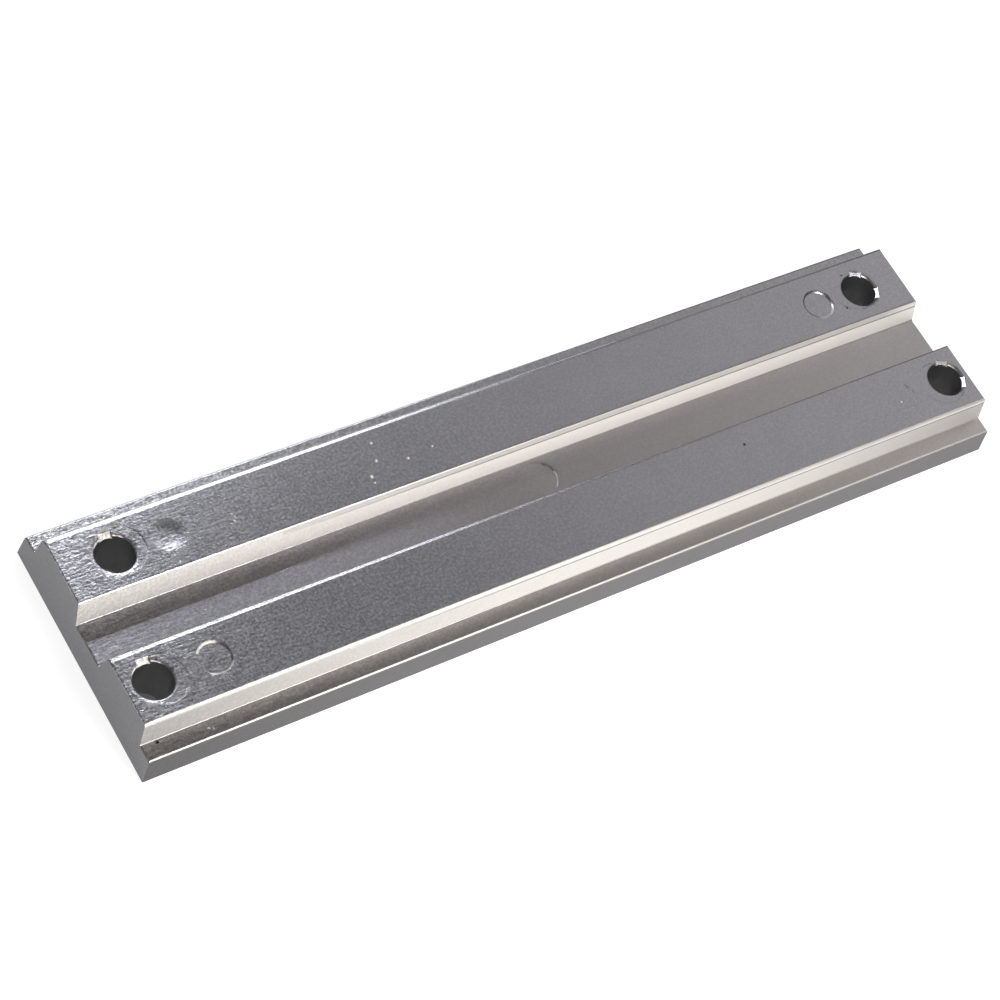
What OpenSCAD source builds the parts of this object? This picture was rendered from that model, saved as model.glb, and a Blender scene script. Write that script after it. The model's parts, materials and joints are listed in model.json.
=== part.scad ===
// Bar anode: one casting with a flat back, a flange step along each side,
// two raised lands with a channel between them, and four bolt holes.
// X runs along the bar, Y across it, and Z up from the flat back.

/* [Bar] */
// Length of the flat back from end to end
bar_l = 210; // [150:1:320]
// Width of the flat back from side to side
bar_w = 54; // [45:1:90]
// Height from the flat back to the tops of the lands
bar_h = 13; // [10.5:0.5:20]

/* [Flanges and channel] */
// Height of the flange step above the flat back
flange_h = 6.9; // [4:0.1:9]
// Width of each flange from the edge of the back to the foot of the land
flange_w = 4.5; // [2.5:0.1:6]
// Depth of the channel below the tops of the lands
channel_d = 5.5; // [2:0.1:7]
// Width of the channel's floor between the feet of its walls
channel_w = 9.6; // [6:0.1:14]

/* [Draft] */
// Draft of the flanges' outer sides in degrees
side_draft = 5.5; // [1:0.5:10]
// Draft of the lands' outer walls in degrees
land_draft = 8.5; // [1:0.5:15]
// Draft of the channel's walls in degrees
channel_draft = 15.5; // [1:0.5:25]
// Draft of the two ends in degrees
end_draft = 4; // [1:0.5:10]

/* [Rounds] */
// Radius of the lands' long outer top edges
land_edge_r = 0.75; // [0.3:0.05:1.5]
// Radius of the channel's two long top edges
channel_edge_r = 0.5; // [0.2:0.05:1.5]
// Radius of the long top edges of the flanges
flange_edge_r = 0.5; // [0.2:0.05:1.2]
// Radius of the fillets at the feet of the walls
foot_r = 0.2; // [0.1:0.05:1]
// Radius of the top edges across the two ends
end_edge_r = 0.35; // [0.15:0.05:0.8]

/* [Bolt holes] */
// Diameter of the four bolt holes
hole_d = 8.2; // [5:0.1:11]
// Width of the chamfer at each hole's upper rim
rim_w = 0.2; // [0.1:0.05:1]
// Width of the gentle slope round that chamfer
rim_slope_w = 0.3; // [0.1:0.05:1]
// Depth of the gentle slope round the chamfer
rim_slope_sink = 0.08; // [0.04:0.02:0.3]
// Distance of the wide row's holes from the ends of the back
wide_row_inset = 6.8; // [6.5:0.1:20]
// Distance of the narrow row's holes from the ends of the back
narrow_row_inset = 12.4; // [6.5:0.1:25]

/* [Chipped rims] */
// Reach of the chip in the rim of each hole at the -X end, from the hole's wall
low_end_chip = 1; // [0.4:0.1:1.2]
// Reach of the two chips in the rim of each hole at the +X end, from the hole's wall
high_end_chip = 0.6; // [0.4:0.1:1.2]
// Length of each chip along the rim
chip_l = 2.8; // [1:0.1:4]
// Slope in degrees of the chips on the +Y side of the rims
chip_slope = 45; // [30:1:60]
// Slope in degrees of the gentler chips on the +X side of the rims
side_chip_slope = 38; // [30:1:60]
// Place of the +X holes' chips round the rim, in degrees from +Y towards +X
high_end_chip_turn = 24; // [0:1:45]
// Place of the gentler chips round the rim, in degrees from +Y towards +X
side_chip_turn = 118; // [60:1:150]

/* [Ejector marks] */
// Diameter of the round mark that each ejector pin left on a land
pin_d = 7.4; // [4:0.2:9]
// Depth of the sloped outer part of a pin's mark
pin_sink = 0.1; // [0.05:0.05:0.3]
// Full depth of the marks that have a steep step inside their slope
deep_pin_sink = 0.35; // [0.1:0.05:0.6]
// Depth of the one mark that is almost flush
faint_pin_sink = 0.02; // [0.01:0.01:0.2]
// Depth of the one mark that is a smooth bowl
bowl_sink = 0.3; // [0.2:0.05:0.8]
// How far a mark's sloped wall runs inwards, as a multiple of the mark's depth
wall_run = 2.5; // [1:0.1:4]
// Distance from a hole of the wide row to the pin's mark inboard of it
wide_row_pin_step = 13.1; // [10:0.1:20]
// Distance from a hole of the narrow row to the pin's mark inboard of it
narrow_row_pin_step = 11.6; // [10:0.1:20]
// Bare floor between the channel's middle mark and the foot of each wall
centre_pin_gap = 0.7; // [0.5:0.1:2]
// Gap from the wall of a bolt hole to the edge of the sleeve's mark round it
sleeve_gap = 1.25; // [0.8:0.05:2]
// Distance of a sleeve's centre inboard of its hole
sleeve_shift = 1.5; // [0:0.1:2]
// Distance of a sleeve's centre outwards from its row of holes
sleeve_spread = 0.5; // [0:0.1:1]
// Depth of a sleeve's mark below the land
sleeve_sink = 0.08; // [0.05:0.01:0.3]

/* [Hidden] */
$fn = 64;

// Heights of the channel's floor, and half widths of the section at each of its corners
floor_h = bar_h - channel_d;
back_half = bar_w / 2;
flange_half = back_half - flange_h * tan(side_draft);
land_foot_half = back_half - flange_w;
land_top_half = land_foot_half - (bar_h - flange_h) * tan(land_draft);
channel_foot_half = channel_w / 2;
channel_top_half = channel_foot_half + channel_d * tan(channel_draft);

// The two hole rows lie on the middle of the lands' feet
row_y = (land_foot_half + channel_foot_half) / 2;
// Half spacing of the holes in each row: the wide row is on the -Y land
wide_row_x = bar_l / 2 - wide_row_inset;
narrow_row_x = bar_l / 2 - narrow_row_inset;
// Each row as its place across the bar and its half spacing along it
rows = [[-row_y, wide_row_x], [row_y, narrow_row_x]];

// A cutter reaches this far past the solid that it cuts
reach = 1;
// The cutter of a shallow mark reaches this far above the flat that it cuts
mark_reach = 0.1;
// A round's arc runs this far past its tangent points, so that it crosses the flats cleanly
overrun = 0.002;

// Half of the cross-section, as [across, up, radius] from the back's edge to the channel's floor
half_section = [
    [back_half, 0, 0],
    [flange_half, flange_h, flange_edge_r],
    [land_foot_half, flange_h, foot_r],
    [land_top_half, bar_h, land_edge_r],
    [channel_top_half, bar_h, channel_edge_r],
    [channel_foot_half, floor_h, foot_r],
];

// The bar seen from its side, as [along, up, radius]
side_view = [
    [-bar_l / 2, 0, 0],
    [bar_l / 2, 0, 0],
    [end_x(bar_h), bar_h, end_edge_r],
    [-end_x(bar_h), bar_h, end_edge_r],
];

// Distance of the drafted end face from the middle of the bar at height z
function end_x(z) = bar_l / 2 - z * tan(end_draft);

function point(p) = [p[0], p[1]];
function unit(v) = v / norm(v);
function cross_z(u, v) = u[0] * v[1] - u[1] * v[0];

// An outline's other half, in the order that continues it
function mirrored(half) = [for (i = [len(half) - 1 : -1 : 0]) [-half[i][0], half[i][1], half[i][2]]];

// True where an anticlockwise outline turns outwards at corner p between its neighbours a and b
function is_convex(a, p, b) = cross_z(point(p) - point(a), point(b) - point(p)) > 0;

// What lies between the sharp corner p and an arc tangent to its two edges, which run to a and b
module corner_piece(a, p, b) {
    to_a = unit(point(a) - point(p));
    to_b = unit(point(b) - point(p));
    half_angle = acos(to_a * to_b) / 2;
    centre = point(p) + unit(to_a + to_b) * p[2] / sin(half_angle);
    tangent_l = p[2] / tan(half_angle);
    tangent_a = point(p) + to_a * tangent_l - centre;
    tangent_b = point(p) + to_b * tangent_l - centre;
    translate(centre)
        difference() {
            polygon(1.2 * [[0, 0], tangent_a, point(p) - centre, tangent_b]);
            circle(p[2] + overrun);
        }
}

// An anticlockwise outline of [x, y, radius] points, with its corners rounded and filleted
module rounded_outline(points) {
    n = len(points);
    corners = [for (i = [0 : n - 1]) [points[(i + n - 1) % n], points[i], points[(i + 1) % n]]];
    difference() {
        union() {
            polygon([for (p = points) point(p)]);
            for (c = corners)
                if (c[1][2] > 0 && !is_convex(c[0], c[1], c[2]))
                    corner_piece(c[2], c[1], c[0]);
        }
        for (c = corners)
            if (c[1][2] > 0 && is_convex(c[0], c[1], c[2]))
                corner_piece(c[0], c[1], c[2]);
    }
}

// Places an XY outline so that its X runs across the bar and it is drawn out along the bar
module along_bar(length) {
    rotate([90, 0, 90])
        linear_extrude(length, center = true)
            children();
}

// Places an XY outline so that its X runs along the bar and it is drawn out from y0 to y1
module across_bar(y0, y1) {
    translate([0, y1, 0])
        rotate([90, 0, 0])
            linear_extrude(y1 - y0)
                children();
}

// The cast section between the two drafted ends
module casting() {
    difference() {
        intersection() {
            along_bar(bar_l + 2 * reach)
                rounded_outline(concat(half_section, mirrored(half_section)));
            across_bar(-back_half - reach, back_half + reach)
                rounded_outline(side_view);
        }
        low_end_edges();
    }
}

// Rounds the top edge of both ends at height z, from y0 to y1
module end_edge_cut(z, y0, y1) {
    for (side = [0, 1])
        mirror([side, 0, 0])
            across_bar(y0, y1)
                corner_piece([end_x(0), 0], [end_x(z), z, end_edge_r], [0, z]);
}

// The flanges and the channel's floor end lower than the lands, between their own fillets
module low_end_edges() {
    floor_half = channel_foot_half - foot_r;
    end_edge_cut(floor_h, -floor_half, floor_half);
    end_edge_cut(flange_h, land_foot_half + foot_r, back_half + reach);
    end_edge_cut(flange_h, -back_half - reach, -land_foot_half - foot_r);
}

// One bolt hole, chamfered at its upper rim inside the sleeve's mark
module bolt_hole() {
    slope_z = bar_h - sleeve_sink;
    translate([0, 0, -reach])
        cylinder(h = bar_h + 2 * reach, d = hole_d);
    round_mark(hole_d + 2 * rim_w, slope_z - rim_slope_sink, rim_w, 1);
    round_mark(hole_d + 2 * (rim_w + rim_slope_w), slope_z, rim_slope_sink, rim_slope_w / rim_slope_sink);
}

// A wedge that breaks a chip out of a hole's rim, turned from its +Y side towards its +X side
module rim_chip(turn, chip_reach, slope) {
    chip_y = hole_d / 2 + chip_reach;
    rotate([0, 0, -turn])
        along_bar(chip_l)
            polygon([
                [0, bar_h - chip_y * tan(slope)],
                [chip_y + mark_reach / tan(slope), bar_h + mark_reach],
                [0, bar_h + mark_reach],
            ]);
}

module bolt_holes() {
    for (row = rows) {
        translate([-row[1], row[0], 0]) {
            bolt_hole();
            rim_chip(0, low_end_chip, chip_slope);
        }
        translate([row[1], row[0], 0]) {
            bolt_hole();
            rim_chip(high_end_chip_turn, high_end_chip, chip_slope);
            rim_chip(side_chip_turn, high_end_chip, side_chip_slope);
        }
    }
}

// Cuts a round mark into the flat at height z, with a wall that runs inwards as it goes down
module round_mark(d, z, sink, run) {
    translate([0, 0, z - sink])
        cylinder(h = sink + mark_reach, r1 = d / 2 - sink * run, r2 = d / 2 + mark_reach * run);
}

// Cuts a shallow bowl into the flat at height z, where the pin stood proud and its mark is smooth
module bowl_mark(d, z, sink) {
    r = (d * d / 4 + sink * sink) / (2 * sink);
    translate([0, 0, z - sink + r])
        sphere(r);
}

// The marks of the sleeves round the holes, kept to the flat tops of the lands
module sleeve_marks() {
    flat_w = land_top_half - land_edge_r - channel_top_half - channel_edge_r;
    flat_l = 2 * (end_x(bar_h) - end_edge_r);
    flat_y = (land_top_half - land_edge_r + channel_top_half + channel_edge_r) / 2;
    for (row = rows)
        intersection() {
            for (side = [-1, 1])
                translate([side * (row[1] - sleeve_shift), row[0] + sign(row[0]) * sleeve_spread, 0])
                    round_mark(hole_d + 2 * sleeve_gap, bar_h, sleeve_sink, wall_run);
            translate([0, sign(row[0]) * flat_y, bar_h])
                cube([flat_l, flat_w, 2 * reach], center = true);
        }
}

// A mark whose wall slopes at first and then drops as a steep step
module stepped_mark() {
    step_d = pin_d - 2 * pin_sink * (wall_run - 1);
    round_mark(pin_d, bar_h, pin_sink, wall_run);
    round_mark(step_d, bar_h, deep_pin_sink, 1);
}

// The marks of the four pins beside the holes, each pressed in to its own depth
module pin_marks() {
    wide_pin_x = wide_row_x - wide_row_pin_step;
    narrow_pin_x = narrow_row_x - narrow_row_pin_step;
    translate([-wide_pin_x, -row_y, 0])
        stepped_mark();
    translate([narrow_pin_x, row_y, 0])
        stepped_mark();
    translate([wide_pin_x, -row_y, 0])
        round_mark(pin_d, bar_h, faint_pin_sink, wall_run);
    translate([-narrow_pin_x, row_y, 0])
        bowl_mark(pin_d, bar_h, bowl_sink);
}

// The mark that the middle ejector pin left on the channel's floor
module channel_mark() {
    round_mark(channel_w - 2 * centre_pin_gap, floor_h, pin_sink, wall_run);
}

module anode_bar() {
    color([0.62, 0.62, 0.64])
        difference() {
            casting();
            bolt_holes();
            sleeve_marks();
            pin_marks();
            channel_mark();
        }
}

anode_bar();
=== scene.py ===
"""Looks of the cast bar anode: its as-cast metal, the marks of its mould, and a plain studio."""

import json
import math

import bmesh
import bpy
from mathutils import Matrix, Quaternion, Vector, noise


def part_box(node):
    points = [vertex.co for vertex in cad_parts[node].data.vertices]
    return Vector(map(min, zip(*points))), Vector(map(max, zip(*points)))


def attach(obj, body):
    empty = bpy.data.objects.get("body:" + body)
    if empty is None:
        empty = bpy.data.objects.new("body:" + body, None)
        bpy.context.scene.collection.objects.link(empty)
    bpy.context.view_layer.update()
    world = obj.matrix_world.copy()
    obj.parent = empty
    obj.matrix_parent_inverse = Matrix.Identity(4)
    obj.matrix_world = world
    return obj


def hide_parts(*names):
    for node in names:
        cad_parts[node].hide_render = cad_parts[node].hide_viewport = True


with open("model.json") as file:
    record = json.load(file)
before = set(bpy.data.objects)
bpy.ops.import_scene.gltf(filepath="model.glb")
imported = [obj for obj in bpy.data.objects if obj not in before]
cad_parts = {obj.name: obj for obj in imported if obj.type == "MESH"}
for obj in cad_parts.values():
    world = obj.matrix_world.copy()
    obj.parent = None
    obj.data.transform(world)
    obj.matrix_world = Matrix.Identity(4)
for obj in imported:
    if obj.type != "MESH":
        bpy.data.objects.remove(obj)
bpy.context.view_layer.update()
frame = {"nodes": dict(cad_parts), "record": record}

# Sizes and places are in millimetres, and this turns them to metres
MM = 0.001


def mm(*values):
    """A point or a set of sizes given in millimetres, in metres."""
    return Vector([v * MM for v in values])


def in_mm(metres):
    """A length in metres as millimetres, to the nearest micrometre."""
    return round(metres / MM, 3)


def bolt_rows():
    """The record's rows of bolt holes."""
    return [mount for mount in frame["record"]["mounts"] if mount["kind"] == "bolt_pattern"]


def hole_places():
    """The middles of the bolt holes as (X, Y), worked out from the record's rows."""
    places = []
    for row in bolt_rows():
        half_spacing = row["dims"]["spacing_x_mm"] / 2
        y = in_mm(row["pos_m"][1])
        places += [(-half_spacing, y), (half_spacing, y)]
    return places


# The bar's overall sizes and its holes, from the frame
BAR_HALF_L, BAR_HALF_W, LAND_Z = (in_mm(value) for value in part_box("anode_bar")[1])
HOLES = hole_places()
HOLE_R = bolt_rows()[0]["dims"]["hole_r_mm"]

# The other sizes of the casting's section, as in the part's source
FLANGE_Z = 6.9
FLOOR_Z = 7.5
FLOOR_HALF_W = 4.8

# Along Y each land's flat top lies between these distances from the middle, and the flanges lie past them
LAND_FROM = 8
LAND_TO = 20

# The round mark in the channel leans: its left side is level with the floor and its right side is sunk
CHANNEL_MARK_R = 4.3
CHANNEL_MARK_LOW_SIDE = Vector((0.83, 0.49, 0))

# The rims of the other round marks get a painted glint where they face along this line
MARK_LIGHT = Vector((-0.26, 0.97, 0))


# Camera


def add_camera():
    """The camera at the photograph's place, aim, roll and lens."""
    place = mm(-291.39, -208.72, 490.79)
    aim = mm(-6.37, 1.8, 0)
    roll = math.radians(27.307)
    data = bpy.data.cameras.new("camera")
    data.sensor_width = 36
    data.lens = 104.96
    data.clip_start = 0.01
    camera = bpy.data.objects.new("camera", data)
    turn = (aim - place).to_track_quat("-Z", "Y") @ Quaternion((0, 0, 1), roll)
    camera.matrix_world = Matrix.Translation(place) @ turn.to_matrix().to_4x4()
    bpy.context.scene.collection.objects.link(camera)
    bpy.context.scene.camera = camera


# Materials

# Widths of the skin's grain and specks. The real ones are about half as wide, which is too fine to show.
GRAIN_W = 0.5556
SPECK_W = 0.5882
# The streaks are as wide as this, and about four and a half times as long
STREAK_W = 0.4762
STREAK_SQUEEZE = 0.22
# Faint patches where the skin is cleaner or duller
PATCH_W = 5

# The mould is most worn at the left end, and the wear has died away here, right of the middle
WEAR_END = 30
# Away from the wear the specks keep this share of their contrast
UNWORN_SPECKLE = 0.12
# Where the wear is full the specks take this share from the streaks
DRAWN_OUT = 0.6

# The fades of the two ends blend into each other this near the middle
FADE_BLEND = 20

# Painted light makes the channel floor's near half lighter from the left end to the first place, and no more
# at the second
NEAR_TONE_TO = (-55, -10)
# The border of the painted light is sharp to the first place, and at the second it is wide
BORDER_X = (-60, -10)
BORDER_W = (0.2, 3)

# The far half of the channel's floor is lower, behind a step that runs from the left end to STEP_END
STEP_Y = 0.55
STEP_W = 0.12
STEP_H = 0.16
STEP_END = -56
STEP_RUN_OUT = 12


# How bright the board glows under the bar, where it is a painted shadow, and beside it, where the light on it
# adds what white still needs
PAINTED_SHADOW_GLOW = 0.06
BARE_BOARD = 0.9
# How much of the light on it the board sends back
BOARD_TONE = 0.42
# Half the board's width in metres
BOARD_HALF_W = 6


def linear(hex_colour):
    """An sRGB hex colour as linear RGBA."""
    channels = [int(hex_colour[i : i + 2], 16) / 255 for i in (1, 3, 5)]
    return [c / 12.92 if c <= 0.04045 else ((c + 0.055) / 1.055) ** 2.4 for c in channels] + [1]


def per_metre(size):
    """How often a pattern of that size in millimetres repeats in a metre."""
    return 1 / (size * MM)


def new_material(name):
    """An empty node material, with its tree and its output node."""
    material = bpy.data.materials.new(name)
    material.use_nodes = True
    tree = material.node_tree
    tree.nodes.clear()
    return material, tree, tree.nodes.new("ShaderNodeOutputMaterial")


def add_node(tree, kind, inputs=None, **settings):
    """Adds a node: settings are its own values, inputs are socket values or the sockets linked to them."""
    node = tree.nodes.new(kind)
    for name, value in settings.items():
        setattr(node, name, value)
    for name, value in (inputs or {}).items():
        if isinstance(value, bpy.types.NodeSocket):
            tree.links.new(value, node.inputs[name])
        else:
            node.inputs[name].default_value = value
    return node


def skin_bump(tree, place, deep_wear, drawn, grain, streaks):
    """The skin's relief: grain all over, which is deeper where the mould is worn, and streaks there."""
    height = add_node(
        tree, "ShaderNodeMapRange", {"Value": deep_wear, "To Min": grain[1] * MM, "To Max": grain[0] * MM}
    ).outputs["Result"]
    fine = add_node(
        tree,
        "ShaderNodeTexNoise",
        {"Vector": place, "Scale": per_metre(GRAIN_W), "Detail": 3.0, "Roughness": 0.65},
    ).outputs["Fac"]
    raised = add_node(tree, "ShaderNodeMath", {0: fine, 1: height}, operation="MULTIPLY").outputs[0]
    streak_height = add_node(
        tree, "ShaderNodeMath", {0: deep_wear, 1: streaks * MM}, operation="MULTIPLY"
    ).outputs[0]
    relief = add_node(
        tree, "ShaderNodeMath", {0: drawn, 1: streak_height, 2: raised}, operation="MULTIPLY_ADD"
    ).outputs[0]
    bump = add_node(tree, "ShaderNodeBump", {"Height": relief, "Distance": 1.0, "Strength": 1.0})
    return bump.outputs["Normal"]


def painted_light_on_near_half(tree, axes, shade, near_tone):
    """The floor's tone, with painted light on the near half: a lighter tone of its own at the left end,
    blended away to the right.
    """
    softness = add_node(
        tree,
        "ShaderNodeMapRange",
        {
            "Value": axes["X"],
            "From Min": BORDER_X[0] * MM,
            "From Max": BORDER_X[1] * MM,
            "To Min": BORDER_W[0] * MM,
            "To Max": BORDER_W[1] * MM,
        },
    ).outputs["Result"]
    past_step = add_node(
        tree, "ShaderNodeMath", {0: STEP_Y * MM, 1: axes["Y"]}, operation="SUBTRACT"
    ).outputs[0]
    past_border = add_node(
        tree, "ShaderNodeMath", {0: past_step, 1: softness}, operation="DIVIDE"
    ).outputs[0]
    near_half = add_node(
        tree, "ShaderNodeMapRange", {"Value": past_border, "From Min": -1.0, "From Max": 1.0}
    ).outputs["Result"]
    left_part = add_node(
        tree,
        "ShaderNodeMapRange",
        {"Value": axes["X"], "From Min": NEAR_TONE_TO[1] * MM, "From Max": NEAR_TONE_TO[0] * MM},
    ).outputs["Result"]
    near_left = add_node(
        tree, "ShaderNodeMath", {0: near_half, 1: left_part}, operation="MULTIPLY"
    ).outputs[0]
    return add_node(
        tree,
        "ShaderNodeMix",
        {"Factor": near_left, "A": shade, "B": linear(near_tone)},
        data_type="RGBA",
    ).outputs["Result"]


def speck_tone(tree, place, wear, drawn, speckle):
    """How light the skin is, with painted glints and shade: lighter on the tops of its grain and darker in its
    hollows.

    drawn is the pattern of the streaks, or None on a skin that has none. With it the specks are drawn out
    along the bar where the mould is worn.
    """
    specks = add_node(
        tree,
        "ShaderNodeTexNoise",
        {"Vector": place, "Scale": per_metre(SPECK_W), "Detail": 2.0, "Roughness": 0.6},
    ).outputs["Fac"]
    contrast = add_node(
        tree, "ShaderNodeMapRange", {"Value": wear, "To Min": UNWORN_SPECKLE * speckle, "To Max": speckle}
    ).outputs["Result"]
    if drawn is not None:
        share = add_node(tree, "ShaderNodeMath", {0: wear, 1: DRAWN_OUT}, operation="MULTIPLY").outputs[0]
        specks = add_node(
            tree, "ShaderNodeMix", {"Factor": share, "A": specks, "B": drawn}, data_type="FLOAT"
        ).outputs["Result"]
    # Most of the noise lies between 0.4 and 0.68: the lower end is a hollow and the upper end a grain's top
    above = add_node(
        tree,
        "ShaderNodeMapRange",
        {"Value": specks, "From Min": 0.4, "From Max": 0.68, "To Min": -0.7, "To Max": 1.8},
    ).outputs["Result"]
    return add_node(
        tree, "ShaderNodeMath", {0: above, 1: contrast, 2: 1.0}, operation="MULTIPLY_ADD"
    ).outputs[0]


def tone_left(tree, axes, fade):
    """The share of its tone that the skin keeps: each end fades as the square of the distance in X."""
    reach = add_node(tree, "ShaderNodeMath", {0: axes["X"], 1: axes["X"]}, operation="MULTIPLY").outputs[0]
    per_reach = [value / (BAR_HALF_L * MM) ** 2 for value in fade]
    fade_here = add_node(
        tree,
        "ShaderNodeMapRange",
        {
            "Value": axes["X"],
            "From Min": -FADE_BLEND * MM,
            "From Max": FADE_BLEND * MM,
            "To Min": per_reach[0],
            "To Max": per_reach[1],
        },
    ).outputs["Result"]
    faded = add_node(tree, "ShaderNodeMath", {0: reach, 1: fade_here}, operation="MULTIPLY").outputs[0]
    return add_node(tree, "ShaderNodeMath", {0: 1.0, 1: faded}, operation="SUBTRACT").outputs[0]


def cast_skin(
    name,
    tones,
    roughness,
    grain,
    metallic=1.0,
    streaks=0.0,
    speckle=0.0,
    fade=(0.0, 0.0),
    near_tone=None,
):
    """Aluminium alloy cast in a metal mould: dull grey metal, whose skin copies the mould's grain and wear.

    tones are the two tones of its faint patches. grain holds the grain's height at the bar's left and right
    ends, and streaks the height of the streaks that follow the bar at its left end, all in millimetres.
    speckle is how far the grain's painted glints and shade change the tone where the mould is worn, and fade
    how much darker the skin is at the left and right ends. near_tone is the tone of the painted light on the
    channel floor's near half at the left end.
    """
    material, tree, output = new_material(name)
    place = add_node(tree, "ShaderNodeTexCoord").outputs["Object"]
    axes = add_node(tree, "ShaderNodeSeparateXYZ", {"Vector": place}).outputs
    toward_left = add_node(
        tree,
        "ShaderNodeMapRange",
        {
            "Value": axes["X"],
            "From Min": WEAR_END * MM,
            "From Max": -BAR_HALF_L * MM,
            "To Min": 0.0,
            "To Max": 1.0,
        },
    ).outputs["Result"]
    wear = add_node(tree, "ShaderNodeMath", {0: toward_left, 1: 2.0}, operation="POWER").outputs[0]
    deep_wear = add_node(tree, "ShaderNodeMath", {0: toward_left, 1: 3.0}, operation="POWER").outputs[0]
    along = add_node(
        tree, "ShaderNodeMapping", {"Vector": place, "Scale": (STREAK_SQUEEZE, 1, 1)}
    ).outputs["Vector"]
    drawn = add_node(
        tree,
        "ShaderNodeTexNoise",
        {"Vector": along, "Scale": per_metre(STREAK_W), "Detail": 2.0, "Roughness": 0.65},
    ).outputs["Fac"]
    bump = skin_bump(tree, place, deep_wear, drawn, grain, streaks)
    patches = add_node(
        tree, "ShaderNodeTexNoise", {"Vector": place, "Scale": per_metre(PATCH_W), "Detail": 3.0}
    ).outputs["Fac"]
    shade = add_node(
        tree,
        "ShaderNodeMix",
        {"Factor": patches, "A": linear(tones[0]), "B": linear(tones[1])},
        data_type="RGBA",
    ).outputs["Result"]
    # Painted light on the floor's near half
    if near_tone:
        shade = painted_light_on_near_half(tree, axes, shade, near_tone)
    specks = speck_tone(tree, place, wear, drawn if streaks else None, speckle)
    speckled = add_node(
        tree, "ShaderNodeVectorMath", {0: shade, "Scale": specks}, operation="SCALE"
    ).outputs[0]
    faded = add_node(
        tree, "ShaderNodeVectorMath", {0: speckled, "Scale": tone_left(tree, axes, fade)}, operation="SCALE"
    ).outputs[0]
    metal = add_node(
        tree,
        "ShaderNodeBsdfPrincipled",
        {"Base Color": faded, "Metallic": metallic, "Roughness": roughness, "Normal": bump},
    )
    tree.links.new(metal.outputs["BSDF"], output.inputs["Surface"])
    return material


def white_floor():
    """A matt pale board: it shows as white to the eye and in the metal, and keeps the bar's soft shadow."""
    material, tree, output = new_material("white_floor")
    rays = add_node(tree, "ShaderNodeLightPath").outputs
    place = add_node(tree, "ShaderNodeTexCoord").outputs["Object"]
    axes = add_node(tree, "ShaderNodeSeparateXYZ", {"Vector": place}).outputs
    # Under the bar the board's glow is cut to a painted shadow, so that the bores stay dark
    along = add_node(tree, "ShaderNodeMath", {0: axes["X"]}, operation="ABSOLUTE").outputs[0]
    across = add_node(tree, "ShaderNodeMath", {0: axes["Y"]}, operation="ABSOLUTE").outputs[0]
    past_end = add_node(
        tree, "ShaderNodeMath", {0: along, 1: BAR_HALF_L * MM}, operation="GREATER_THAN"
    ).outputs[0]
    past_side = add_node(
        tree, "ShaderNodeMath", {0: across, 1: BAR_HALF_W * MM}, operation="GREATER_THAN"
    ).outputs[0]
    bare = add_node(tree, "ShaderNodeMath", {0: past_end, 1: past_side}, operation="MAXIMUM").outputs[0]
    glow_of_board = add_node(
        tree, "ShaderNodeMapRange", {"Value": bare, "To Min": PAINTED_SHADOW_GLOW, "To Max": BARE_BOARD}
    ).outputs["Result"]
    seen = add_node(
        tree, "ShaderNodeMath", {0: rays["Is Camera Ray"], 1: rays["Is Glossy Ray"]}, operation="MAXIMUM"
    ).outputs[0]
    seen_or_through = add_node(
        tree, "ShaderNodeMath", {0: seen, 1: rays["Is Transmission Ray"]}, operation="MAXIMUM"
    ).outputs[0]
    strength = add_node(
        tree, "ShaderNodeMath", {0: seen_or_through, 1: glow_of_board}, operation="MULTIPLY"
    ).outputs[0]
    glow = add_node(tree, "ShaderNodeEmission", {"Color": (1, 1, 1, 1), "Strength": strength})
    board = add_node(tree, "ShaderNodeBsdfDiffuse", {"Color": (BOARD_TONE, BOARD_TONE, BOARD_TONE, 1)})
    both = add_node(tree, "ShaderNodeAddShader", {0: glow.outputs[0], 1: board.outputs[0]})
    tree.links.new(both.outputs[0], output.inputs["Surface"])
    return material


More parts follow.
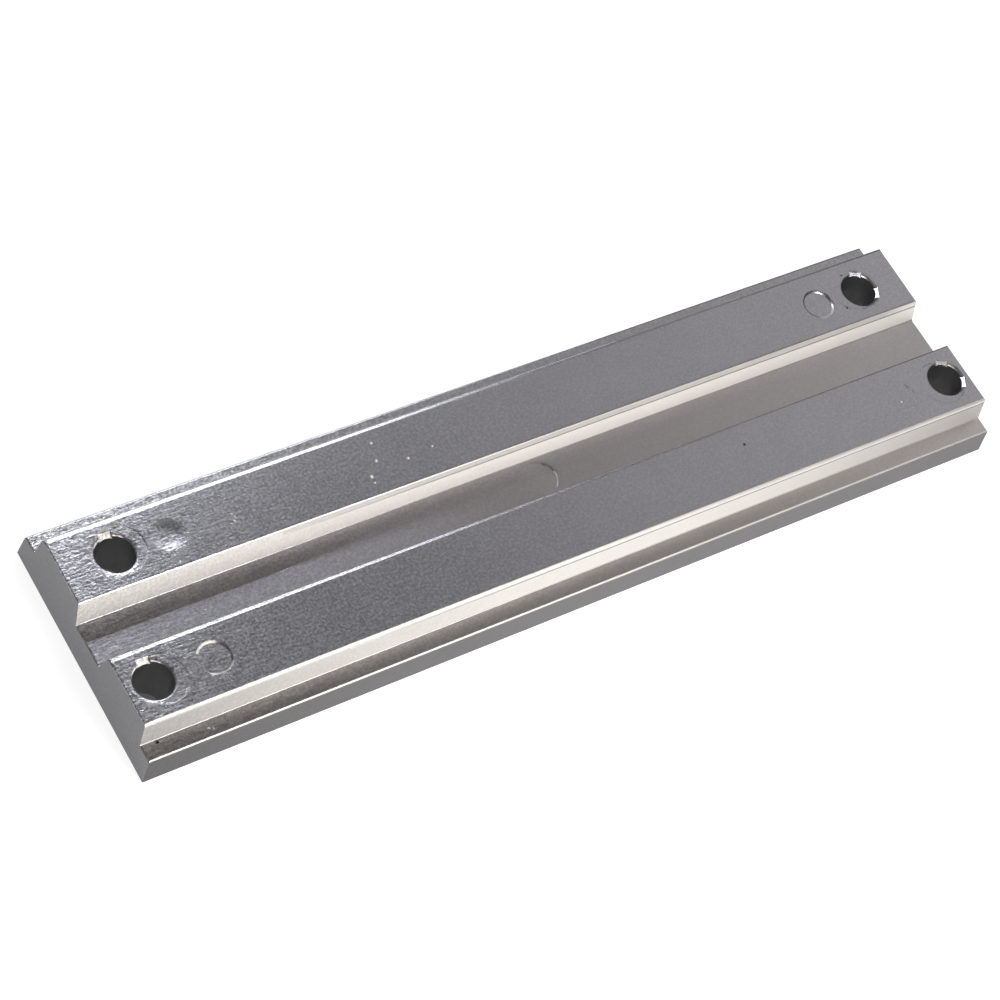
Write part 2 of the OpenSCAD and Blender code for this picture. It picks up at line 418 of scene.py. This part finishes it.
# The casting's skins: zone_of picks one for each face by the name it has here
SKINS = {
    # Mid grey metal with the mould's fine grain, and with bright streaks and specks at the worn left end,
    # partly painted glints
    "land top": dict(
        name="cast_aluminium_land_tops",
        tones=("#acabb1", "#b4b3b8"),
        roughness=0.3,
        grain=(0.11, 0.012),
        streaks=0.07,
        speckle=0.6,
        fade=(-0.45, -0.12),
    ),
    # The same metal in a warmer grey and smoother, with painted light that makes its near half lighter at the
    # left end
    "floor": dict(
        name="cast_aluminium_channel_floor_painted_light",
        tones=("#aca8a9", "#b2aeaf"),
        roughness=0.32,
        grain=(0.08, 0.01),
        streaks=0.04,
        speckle=0.32,
        fade=(-0.15, -0.3),
        near_tone="#d0ced6",
    ),
    # A brownish grey, with painted shade that makes it darker to the left and lighter to the right
    "near flange": dict(
        name="cast_aluminium_near_flange_painted_shade",
        tones=("#a5a09f", "#aca7a6"),
        roughness=0.33,
        grain=(0.1, 0.01),
        streaks=0.05,
        speckle=0.3,
        fade=(0.08, -0.75),
    ),
    # The roughest skin: at the left end its deep grain glitters, partly with painted glints
    "far flange": dict(
        name="cast_aluminium_far_flange",
        tones=("#aeadb2", "#b6b5b9"),
        roughness=0.32,
        grain=(0.2, 0.012),
        streaks=0.06,
        speckle=0.9,
        fade=(-0.2, -0.05),
    ),
    # Walls rubbed smooth as the casting leaves its mould: pale, with only soft reflections
    "channel wall": dict(
        name="burnished_aluminium_channel_walls",
        tones=("#dfdcda", "#e6e3e1"),
        metallic=0.15,
        roughness=0.5,
        grain=(0.05, 0.03),
        speckle=0.12,
        fade=(0.04, 0.0),
    ),
    # The same on the lands' outer walls, with painted shade that darkens them towards both ends, where the
    # front lamp's light falls off
    "outer wall": dict(
        name="burnished_aluminium_outer_walls_painted_shade",
        tones=("#cecccb", "#d4d2d1"),
        metallic=0.15,
        roughness=0.5,
        grain=(0.03, 0.02),
        speckle=0.1,
        fade=(0.32, 0.42),
    ),
    # Dark grey sides: their dark tone is painted shade for the dark reflections the sides show, darker still
    # at the left end
    "side": dict(
        name="cast_aluminium_sides_painted_shade",
        tones=("#646264", "#6a686a"),
        metallic=0.8,
        roughness=0.4,
        grain=(0.03, 0.02),
        speckle=0.08,
        fade=(0.3, 0.0),
    ),
    # Dull grey ends
    "end": dict(
        name="cast_aluminium_ends",
        tones=("#79797c", "#7f7f82"),
        metallic=0.8,
        roughness=0.4,
        grain=(0.02, 0.02),
        speckle=0.05,
    ),
    # Smooth bores, as the mould's steel pins leave them: dark, with a faint sheen
    "bore": dict(
        name="cored_aluminium_bores",
        tones=("#b8b8ba", "#c0c0c2"),
        roughness=0.3,
        grain=(0.01, 0.01),
    ),
    # Broken metal, coarse, whose near-white tone is a painted highlight
    "chip": dict(
        name="broken_aluminium_rims",
        tones=("#d3d0cb", "#fbf9f5"),
        metallic=0.1,
        roughness=0.5,
        grain=(0.3, 0.3),
        speckle=0.35,
    ),
    # A darker copy of the broken metal: painted shade that dims the glint on parts of the right holes' chips
    "shaded chip": dict(
        name="aluminium_rim_chips_painted_shade",
        tones=("#8a8886", "#9c9a98"),
        roughness=0.45,
        grain=(0.1, 0.05),
        speckle=0.2,
    ),
    # Painted highlights: pale lines along the edges that face the front, and a pale strip on the walls just
    # below them
    "front edge highlight": dict(
        name="aluminium_front_edges_painted_highlight",
        tones=("#cccac7", "#d8d6d4"),
        metallic=0.4,
        roughness=0.4,
        grain=(0.06, 0.03),
        speckle=0.1,
    ),
    # Painted shade: dull grey on the steep parts of the rounded edges and in the corners at the walls' feet,
    # darker towards both ends
    "edge foot": dict(
        name="aluminium_edge_feet_painted_shade",
        tones=("#848281", "#8c8a89"),
        metallic=0.15,
        roughness=0.5,
        grain=(0.03, 0.02),
        speckle=0.1,
        fade=(0.2, 0.2),
    ),
    # A thin painted dark line, standing for the darker reflection under the bright edges, which gets lost in
    # the bright skin towards the left
    "painted dark line": dict(
        name="aluminium_painted_dark_lines",
        tones=("#848281", "#8c8a89"),
        metallic=0.15,
        roughness=0.5,
        grain=(0.03, 0.02),
        speckle=0.1,
        fade=(-6.0, 0.2),
    ),
    # Worn edges, shiny enough to mirror the lamp behind the bar
    "back edge": dict(
        name="worn_aluminium_back_edges",
        tones=("#d2d2d5", "#dadadd"),
        roughness=0.27,
        grain=(0.05, 0.005),
        streaks=0.04,
        speckle=0.2,
    ),
    # Painted glint: a pale tone on the rims of the round marks where they face the lamps, and on a few specks
    "mark rim": dict(
        name="aluminium_mark_rims_painted_glint",
        tones=("#cfcdca", "#dcdad7"),
        metallic=0.15,
        roughness=0.4,
        grain=(0.05, 0.02),
        speckle=0.2,
    ),
    # Painted shade: the pits are made nearly black
    "pit": dict(
        name="painted_shade_in_pits",
        tones=("#2c2a29", "#343230"),
        metallic=0.0,
        roughness=0.6,
        grain=(0.02, 0.02),
    ),
}
ZONES = list(SKINS)


# The casting

# Its faces are cut into cells of this size, fine enough for its unevenness
CELL = 1.5

# The unevenness that the whole casting has, as [length, height]
SWELLS = ((9, 0.02), (3, 0.012))

# A ragged flash of metal hangs on the far flange's outer edge between these places
FLASH = (-60, -33)
FLASH_W = 0.16
FLASH_FROM_Y = 25.8
FLASH_FROM_Z = 5

# Lines where the mould's wear rolled the tops over towards +Y, as [Y, height, width, slope in degrees]:
# the far land's outer edge, the near land's channel edge, and a line along the far flange
ROLLED_EDGES = ((20.94, LAND_Z, 0.6, 18), (-6.71, LAND_Z, 0.6, 22), (24.2, FLANGE_Z, 1.0, 18))
ROLLED_EDGE_CUTS = (0, 0.12, 0.25, 0.4, 0.6, 0.8, 1)
# They are rolled most at the left end, less and less to here, and not at all right of it
ROLLED_TO = 60
# The slope begins gently: the drop grows with this power of the way into the roll
ROLL_POWER = 1.3
# A roll moves what lies between these distances from its Y, no further than this from its height
ROLL_REACH = (-8, 3)
ROLL_REACH_Z = 0.7
# A roll that is narrower than this doesn't show, so it is left out
ROLL_LEAST_W = 0.05

# A painted dark line runs under each bright edge that faces the front, as [lower Z, upper Z, from Y, to Y]
PAINTED_DARK_LINES = ((11.35, 11.65, 0, 8), (11.85, 12.2, -23, -20))
PAINTED_DARK_LINES_START = -60

# Right of this place the edges that face the back get the painted dark line
DARK_FROM = 30

# How far past a hole's wall its rim and chips reach, and where the painted shade and the faint parts of them
# begin
RIM_REACH = 1.3
SHADED_CHIP_FROM = 0.7
FAINT_RIM_FROM = 0.6
# The left holes' chips begin this far behind the hole's middle
CHIP_FROM = 2.8

# The right-hand side of the channel's mark, whose sunk rim gets a painted glint, lies right of this X and
# before this Y
CHANNEL_RIM_FROM_X = 2.5
CHANNEL_RIM_TO_Y = 0.5
# Right of this place the lands have no round marks
MARKS_TO = 88
# The rim of a round mark gets the painted glint where the cosine between its normal and MARK_LIGHT is above
# this
MARK_LIT = 0.75

# The drafted ends lie no further in than this, and the drafted sides no further in than the second
END_IN = 1.1
SIDE_IN = 0.7
# The sides reach up to this far below the flanges' tops, and the lands' edges this far down their walls
SIDE_BELOW = 0.4
EDGE_H = 1.2

# The upward part of a face's normal is 1 on a flat top, 0 on an upright wall and -1 on the back. These part
# the zones.
UP_ON_BACK = -0.9
UP_ON_BORE = 0.1
UP_ON_FLAT_RIM = 0.93
UP_ON_MARK_FLAT = 0.95
UP_ON_CHANNEL_MARK_FLAT = 0.99
UP_ON_TOPS = 0.97
UP_ON_LAND_ROUND = 0.8
UP_ON_BACK_EDGE = 0.75
UP_ON_FRONT_EDGE = 0.6
UP_ON_CHANNEL_ROUND = 0.3
UP_ON_OUTER_ROUND = 0.2

# Pits, made nearly black with painted shade, and specks on the tops, as [X, Y, height, half its width, rise of
# its middle, zone]
SPOTS = (
    (-101.2, -23.1, FLANGE_Z, 0.35, -0.35, "pit"),
    (43.8, -11.3, LAND_Z, 0.3, -0.25, "pit"),
    (86.9, 10.4, LAND_Z, 0.22, -0.15, "pit"),
    (90.8, 18.4, LAND_Z, 0.2, -0.15, "pit"),
    (84.6, -15, LAND_Z, 0.2, 0.08, "chip"),
    (-32.5, 17.8, LAND_Z, 0.25, 0.08, "chip"),
    (-33.6, 13.7, LAND_Z, 0.32, 0.08, "chip"),
    (-27.0, 11.9, LAND_Z, 0.28, 0.08, "chip"),
    (-20.8, 12.6, LAND_Z, 0.22, 0.08, "chip"),
    (-36.3, 10.7, LAND_Z, 0.32, 0.08, "chip"),
    (-36.4, 9.2, LAND_Z, 0.22, 0.05, "chip"),
    (-67.4, 11.6, LAND_Z, 0.3, 0.05, "mark rim"),
    (-66.9, 12.4, LAND_Z, 0.2, 0.05, "mark rim"),
    (-67.2, 13.3, LAND_Z, 0.25, 0.05, "mark rim"),
    (-81.8, 7.4, LAND_Z, 0.3, 0.08, "chip"),
    (-90.8, -24.4, FLANGE_Z, 0.3, 0.05, "land top"),
    (-89.9, -24.7, FLANGE_Z, 0.25, 0.05, "land top"),
)
# The faces within this distance of a spot are the ones it is cut from
SPOT_NEAR = 1.6


def range_mm(low, high, step):
    """The places of the cuts between low and high, a step apart and half a step from the ends."""
    count = round((high - low) / step)
    return [low + (high - low) * (i + 0.5) / count for i in range(count)]


def cut_into_cells(bm):
    """Cuts every face along planes a cell apart, and at the rolled edges, dull lines and the floor's step."""
    cuts = [((x, 0, 0), (1, 0, 0)) for x in range_mm(-BAR_HALF_L, BAR_HALF_L, CELL)]
    cuts += [((0, y, 0), (0, 1, 0)) for y in range_mm(-BAR_HALF_W, BAR_HALF_W, CELL)]
    cuts += [((0, 0, z), (0, 0, 1)) for z in range_mm(0, LAND_Z, 2 * CELL)]
    for y, _, width, _ in ROLLED_EDGES:
        cuts += [((0, y - into * width, 0), (0, 1, 0)) for into in ROLLED_EDGE_CUTS]
    cuts += [((0, 0, z), (0, 0, 1)) for line in PAINTED_DARK_LINES for z in line[:2]]
    cuts += [((0, y, 0), (0, 1, 0)) for y in (STEP_Y, STEP_Y + STEP_W)]
    for place, normal in cuts:
        bmesh.ops.bisect_plane(
            bm,
            geom=bm.verts[:] + bm.edges[:] + bm.faces[:],
            dist=1e-7,
            plane_co=mm(*place),
            plane_no=normal,
        )


def roll_drop(place, edge):
    """How far a rolled edge drops at a place."""
    y, top, width, slope = edge
    width *= min(1, max(0, (ROLLED_TO - place.x) / (ROLLED_TO + BAR_HALF_L)))
    if width < ROLL_LEAST_W or abs(place.z - top) > ROLL_REACH_Z:
        return 0
    if not ROLL_REACH[0] < place.y - y < ROLL_REACH[1]:
        return 0
    into = 1 - (y - place.y) / width
    if into <= 0:
        return 0
    return math.tan(math.radians(slope)) * width / ROLL_POWER * min(1, into) ** ROLL_POWER


def flash_width(place):
    """How far the ragged flash on the far flange's outer edge stands out at a place."""
    if place.y < FLASH_FROM_Y or place.z < FLASH_FROM_Z or not FLASH[0] < place.x < FLASH[1]:
        return 0
    ragged = noise.noise(Vector((place.x, 0, 0)) / 1.7) + noise.noise(Vector((place.x, 3, 0)) / 5)
    return max(0, ragged) * FLASH_W


def channel_mark_lift(place):
    """How far the channel's round mark is lifted at a place: its left side is level with the floor."""
    if math.hypot(place.x, place.y) >= CHANNEL_MARK_R or place.z >= FLOOR_Z:
        return 0
    sunk = min(1, max(0, 0.5 + CHANNEL_MARK_LOW_SIDE.dot(place) / CHANNEL_MARK_R))
    return (1 - sunk) * (FLOOR_Z - place.z)


def step_drop(place):
    """How much lower the channel's floor is at a place past its step. It rises to the far wall's foot."""
    if place.x > STEP_END or place.z > FLOOR_Z + 0.1:
        return 0
    if not STEP_Y + STEP_W / 2 < place.y < FLOOR_HALF_W:
        return 0
    low = (FLOOR_HALF_W - place.y) / (FLOOR_HALF_W - STEP_Y - STEP_W)
    return STEP_H * low * min(1, (STEP_END - place.x) / STEP_RUN_OUT)


def wear_of_mould(place, normal):
    """How far a place on the casting moves from the plain shape of the source."""
    move = normal * sum(noise.noise(place / length) * height for length, height in SWELLS)
    move.y += flash_width(place)
    move.z += channel_mark_lift(place) - step_drop(place)
    move.z -= sum(roll_drop(place, edge) for edge in ROLLED_EDGES)
    return move


def zone_near_hole(middle, normal, x, y):
    """The zone of a face beside the hole at x, y, or None away from its rim."""
    past_wall = math.hypot(middle.x - x, middle.y - y) - HOLE_R
    behind = middle.y - y
    if past_wall > RIM_REACH:
        return None
    if abs(normal.z) < UP_ON_BORE:
        return "bore"
    if normal.z > UP_ON_FLAT_RIM:
        return "land top"
    if middle.x > 0:
        # The chips of the near row get the painted shade on their far side too
        return "shaded chip" if past_wall > SHADED_CHIP_FROM or y < 0 and behind > 1 else "land top"
    # The left holes' chips get the near-white painted highlight
    if behind > CHIP_FROM:
        return "chip"
    return None if past_wall > FAINT_RIM_FROM else "land top"


def zone_on_land(middle, normal):
    """The zone of a face on a land's top, where the rims of the round marks get a painted glint on their lit
    sides.
    """
    if normal.z > UP_ON_MARK_FLAT or middle.x > MARKS_TO:
        return "land top"
    facing = normal.dot(MARK_LIGHT) / math.hypot(normal.x, normal.y)
    return "mark rim" if facing > MARK_LIT or facing < -MARK_LIT and middle.x < 0 else "land top"


def zone_of_slope(middle, normal, outer):
    """The zone of a face on a rounded edge or foot: outer is true on the flanges' side of a land."""
    if normal.y > 0:
        # Right of DARK_FROM the edges that face the back get the painted dark line
        if middle.x > DARK_FROM:
            return "painted dark line"
        return "back edge" if normal.z > UP_ON_BACK_EDGE else "edge foot"
    if normal.z > UP_ON_LAND_ROUND and not outer:
        return "land top"
    # The rounds that face the front get the painted highlight, and their lower parts the painted shade
    return "front edge highlight" if normal.z > UP_ON_FRONT_EDGE or middle.z > LAND_Z - EDGE_H else "edge foot"


def zone_of_wall(middle, outer):
    """The zone of a face on a wall or a side, with a painted dark line under the bright edges and a painted
    highlight above it.
    """
    past_start = middle.x > PAINTED_DARK_LINES_START
    for low, high, near_y, far_y in PAINTED_DARK_LINES:
        if near_y < middle.y < far_y and middle.z > low:
            # Above the line the wall gets the painted highlight, and in it the painted dark line
            if middle.z > high and (outer or past_start):
                return "front edge highlight"
            if middle.z < high and past_start:
                return "painted dark line"
    if abs(middle.y) > BAR_HALF_W - SIDE_IN and middle.z < FLANGE_Z - SIDE_BELOW:
        return "side"
    return "outer wall" if outer else "channel wall"


def zone_of(face):
    """The name in SKINS of a face's zone."""
    normal = face.normal
    middle = face.calc_center_median() / MM
    outer = abs(middle.y) > LAND_TO
    for x, y in HOLES:
        zone = zone_near_hole(middle, normal, x, y)
        if zone:
            return zone
    if normal.z < UP_ON_BACK:
        return "side"
    if math.hypot(middle.x, middle.y) < CHANNEL_MARK_R and middle.z < FLOOR_Z + 0.5:
        # The sunk rim's right-hand side gets the painted glint
        right_side = middle.x > CHANNEL_RIM_FROM_X and middle.y < CHANNEL_RIM_TO_Y
        return "mark rim" if right_side and normal.z < UP_ON_CHANNEL_MARK_FLAT else "floor"
    if abs(middle.x) > BAR_HALF_L - END_IN and abs(normal.x) > 0.9:
        return "end"
    if LAND_FROM < abs(middle.y) < LAND_TO:
        return zone_on_land(middle, normal)
    if normal.z > UP_ON_TOPS and normal.y < 0.1:
        if outer and middle.z < LAND_Z - 1:
            return "near flange" if middle.y < 0 else "far flange"
        return "land top" if middle.z > FLOOR_Z + 1 else "floor"
    if normal.z > (UP_ON_OUTER_ROUND if outer else UP_ON_CHANNEL_ROUND):
        return zone_of_slope(middle, normal, outer)
    return zone_of_wall(middle, outer)


def add_spot(bm, x, y, z, reach, rise, zone):
    """Cuts a small square from a flat top, with its middle raised or sunk, and gives it a zone's skin."""
    place = mm(x, y, z)
    near = []
    for face in bm.faces:
        if face.normal.z > 0.9 and (face.calc_center_median() - place).length < SPOT_NEAR * MM:
            near.append(face)
    for side in (-1, 1):
        for normal in ((1, 0, 0), (0, 1, 0)):
            parts = set(near)
            for face in near:
                parts.update(face.edges)
                parts.update(face.verts)
            edge_of_spot = place + Vector(normal) * side * reach * MM
            cut = bmesh.ops.bisect_plane(
                bm, geom=list(parts), dist=1e-7, plane_co=edge_of_spot, plane_no=normal
            )
            near = [part for part in cut["geom"] if isinstance(part, bmesh.types.BMFace)]
    square = []
    for face in near:
        offset = (face.calc_center_median() - place) / MM
        if max(abs(offset.x), abs(offset.y)) < reach:
            square.append(face)
    if len(square) > 1:
        square = bmesh.ops.dissolve_faces(bm, faces=square)["region"]
    for face in bmesh.ops.poke(bm, faces=square, offset=rise * MM)["faces"]:
        face.material_index = ZONES.index(zone)
        face.smooth = False


def make_casting(node):
    """The casting's shown mesh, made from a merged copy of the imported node."""
    bm = bmesh.new()
    bm.from_mesh(node.data)
    bmesh.ops.remove_doubles(bm, verts=bm.verts, dist=1e-6)
    bmesh.ops.dissolve_limit(
        bm, angle_limit=math.radians(0.3), verts=bm.verts, edges=bm.edges, use_dissolve_boundaries=False
    )
    cut_into_cells(bm)
    for vert in bm.verts:
        # The back stays flat
        if vert.co.z > 0.05 * MM:
            vert.co += wear_of_mould(vert.co / MM, vert.normal) * MM
    for face in bm.faces:
        face.smooth = True
        face.material_index = ZONES.index(zone_of(face))
    for spot in SPOTS:
        add_spot(bm, *spot)
    for edge in bm.edges:
        edge.smooth = len(edge.link_faces) == 2 and edge.calc_face_angle() < math.radians(30)
    mesh = bpy.data.meshes.new("cast_bar")
    bm.to_mesh(mesh)
    bm.free()
    bar = bpy.data.objects.new("cast_bar", mesh)
    bpy.context.scene.collection.objects.link(bar)
    weighted = bar.modifiers.new("flat_tops_stay_flat", "WEIGHTED_NORMAL")
    weighted.weight = 90
    weighted.keep_sharp = True
    for skin in SKINS.values():
        bar.data.materials.append(cast_skin(**skin))
    return bar


# The studio


def add_softbox(name, place, aim, width, height, radiance, colour):
    """A soft lamp of the given size at place, facing aim, all in millimetres: radiance 1 shows as white."""
    data = bpy.data.lights.new(name, "AREA")
    data.shape = "RECTANGLE"
    data.size = width * MM
    data.size_y = height * MM
    data.energy = radiance * math.pi * data.size * data.size_y
    data.color = linear(colour)[:3]
    lamp = bpy.data.objects.new(name, data)
    turn = (mm(*aim) - mm(*place)).to_track_quat("-Z", "Y")
    lamp.matrix_world = Matrix.Translation(mm(*place)) @ turn.to_matrix().to_4x4()
    bpy.context.scene.collection.objects.link(lamp)


def add_floor():
    """The pale board that the bar lies on."""
    bm = bmesh.new()
    bmesh.ops.create_grid(bm, x_segments=1, y_segments=1, size=BOARD_HALF_W)
    mesh = bpy.data.meshes.new("floor")
    bm.to_mesh(mesh)
    bm.free()
    floor = bpy.data.objects.new("floor", mesh)
    floor.data.materials.append(white_floor())
    bpy.context.scene.collection.objects.link(floor)


def add_lights():
    """Three soft lamps and the even light of the room."""
    # It lights the walls and the sides that face the camera
    add_softbox(
        "front_softbox",
        place=(8, -190, 150),
        aim=(8, 0, 90),
        width=150,
        height=250,
        radiance=7.4,
        colour="#fffbf6",
    )
    # It shows in the edges that are rolled towards the back and in the left end's grain
    add_softbox(
        "back_softbox",
        place=(25, 230, 190),
        aim=(0, 0, 0),
        width=180,
        height=70,
        radiance=7,
        colour="#f8faff",
    )
    # The flat tops mirror it, and they see more of it to the right
    add_softbox(
        "side_softbox",
        place=(461, 141, 430),
        aim=(0, 0, 0),
        width=450,
        height=450,
        radiance=0.5,
        colour="#fffcfa",
    )
    world = bpy.data.worlds.new("room")
    bpy.context.scene.world = world
    world.use_nodes = True
    background = world.node_tree.nodes["Background"]
    background.inputs["Color"].default_value = linear("#fafbff")
    background.inputs["Strength"].default_value = 0.1


bpy.context.scene.view_settings.view_transform = "Standard"
add_camera()
bar = make_casting(frame["nodes"]["anode_bar"])
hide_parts("anode_bar")
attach(bar, "root")
add_floor()
add_lights()
